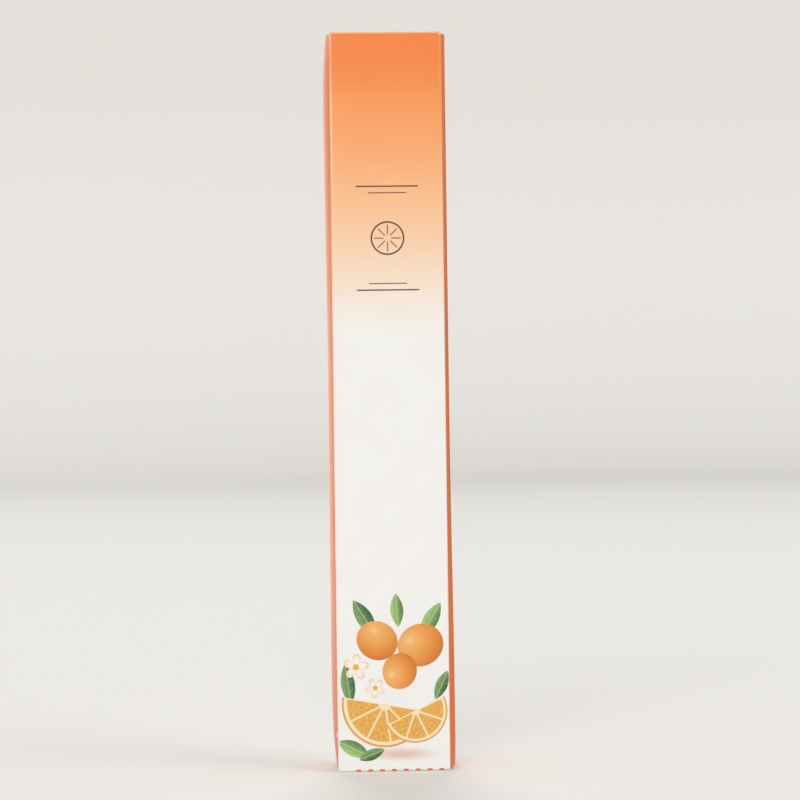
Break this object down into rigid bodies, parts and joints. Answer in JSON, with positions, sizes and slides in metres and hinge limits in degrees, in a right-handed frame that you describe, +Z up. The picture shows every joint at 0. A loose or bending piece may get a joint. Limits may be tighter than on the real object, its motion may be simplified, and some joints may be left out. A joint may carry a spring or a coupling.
{
  "type": "nail oil pen in its folding carton",
  "caption": "Slim upright tuck-end paperboard carton, orange fading to white, holding a twist-feed brush pen for nail oil, with folding lids and a turning knob.",
  "frame": {"origin": "centre of the carton's bottom face, where it stands on a surface", "axes": "+Z up along the carton and the pen, -Y towards the viewer of the front panel, +X to the viewer's right"},
  "size_m": [0.0244, 0.016, 0.147],
  "materials": {
    "printed_board": "coated, printed orange fading to white, semi-gloss",
    "orange_board": "coated, printed solid orange, semi-gloss",
    "raw_board": "uncoated inner face and cut edges, matt",
    "clear_barrel": "clear, glossy, moulded",
    "white_abs": "glossy, moulded",
    "drive_pom": "natural, satin, moulded",
    "soft_pe": "translucent, waxy, moulded",
    "bright_steel": "bright, drawn",
    "seal_rubber": "matt, moulded",
    "nylon_bristle": "fine drawn filament"
  },
  "bodies": {
    "carton": {"carton_sleeve": "printed_board", "glue_flap": "raw_board"},
    "top_lid": {"top_lid": "orange_board"},
    "top_tuck": {"top_tuck_flap": "orange_board"},
    "top_dust_left": {"top_dust_flap_left": "raw_board"},
    "top_dust_right": {"top_dust_flap_right": "raw_board"},
    "bottom_lid": {"bottom_lid": "orange_board"},
    "bottom_tuck": {"bottom_tuck_flap": "orange_board"},
    "bottom_dust_left": {"bottom_dust_flap_left": "raw_board"},
    "bottom_dust_right": {"bottom_dust_flap_right": "raw_board"},
    "pen": {"pen_barrel": "clear_barrel", "collar_ring": "bright_steel", "brush_ferrule": "white_abs", "ferrule_o_ring": "seal_rubber", "feed_tube": "bright_steel", "brush_bristles": "nylon_bristle", "thread_nut": "drive_pom", "rear_bush": "drive_pom", "fixed_ratchet_crown": "drive_pom"},
    "cap": {"pen_cap": "white_abs", "cap_liner": "soft_pe"},
    "knob": {"twist_knob": "white_abs", "knob_end_plug": "white_abs", "drive_sleeve": "drive_pom", "sliding_ratchet_crown": "drive_pom", "ratchet_spring": "bright_steel"},
    "screw": {"piston_rod": "drive_pom"},
    "piston": {"piston": "soft_pe"}
  },
  "joints": [
    {"name": "top_lid_fold", "type": "hinge", "parent": "carton", "child": "top_lid", "pos_m": [0, 0.00775, 0.14677], "axis": [-1, 0, 0], "range_deg": [0, 120]},
    {"name": "top_tuck_fold", "type": "hinge", "parent": "top_lid", "child": "top_tuck", "pos_m": [0, -0.00653, 0.14677], "axis": [1, 0, 0], "range_deg": [0, 54]},
    {"name": "top_dust_left_fold", "type": "hinge", "parent": "carton", "child": "top_dust_left", "pos_m": [-0.01077, 0, 0.14627], "axis": [0, -1, 0], "range_deg": [0, 60]},
    {"name": "top_dust_right_fold", "type": "hinge", "parent": "carton", "child": "top_dust_right", "pos_m": [0.01077, 0, 0.14627], "axis": [0, 1, 0], "range_deg": [0, 60]},
    {"name": "bottom_lid_fold", "type": "hinge", "parent": "carton", "child": "bottom_lid", "pos_m": [0, -0.00775, 0.00022], "axis": [-1, 0, 0], "range_deg": [0, 120]},
    {"name": "bottom_tuck_fold", "type": "hinge", "parent": "bottom_lid", "child": "bottom_tuck", "pos_m": [0, 0.00607, 0.00022], "axis": [1, 0, 0], "range_deg": [0, 54]},
    {"name": "bottom_dust_left_fold", "type": "hinge", "parent": "carton", "child": "bottom_dust_left", "pos_m": [-0.01077, 0, 0.00072], "axis": [0, 1, 0], "range_deg": [0, 60]},
    {"name": "bottom_dust_right_fold", "type": "hinge", "parent": "carton", "child": "bottom_dust_right", "pos_m": [0.01077, 0, 0.00072], "axis": [0, -1, 0], "range_deg": [0, 60]},
    {"name": "pen_lift", "type": "slide", "parent": "carton", "child": "pen", "axis": [0, 0, 1], "range_m": [0, 0.0065]},
    {"name": "cap_pull", "type": "slide", "parent": "pen", "child": "cap", "axis": [0, 0, 1], "range_m": [0, 0.0065]},
    {"name": "knob_turn", "type": "hinge", "parent": "pen", "child": "knob", "pos_m": [0, 0, 0.0012], "axis": [0, 0, 1], "range_deg": [0, 1530]},
    {"name": "screw_feed", "type": "slide", "parent": "knob", "child": "screw", "axis": [0, 0, 1], "range_m": [0, 0.034]},
    {"name": "piston_feed", "type": "slide", "parent": "pen", "child": "piston", "axis": [0, 0, 1], "range_m": [0, 0.034]}
  ],
  "couplings": [
    {"joint": "top_tuck_fold", "follows": "top_lid_fold", "ratio": 0.45},
    {"joint": "top_dust_left_fold", "follows": "top_lid_fold", "ratio": 0.5},
    {"joint": "top_dust_right_fold", "follows": "top_lid_fold", "ratio": 0.5},
    {"joint": "bottom_tuck_fold", "follows": "bottom_lid_fold", "ratio": 0.45},
    {"joint": "bottom_dust_left_fold", "follows": "bottom_lid_fold", "ratio": 0.5},
    {"joint": "bottom_dust_right_fold", "follows": "bottom_lid_fold", "ratio": 0.5},
    {"joint": "knob_turn", "follows": "piston_feed", "rad_per_m": 785.4},
    {"joint": "screw_feed", "follows": "piston_feed", "ratio": 1}
  ]
}
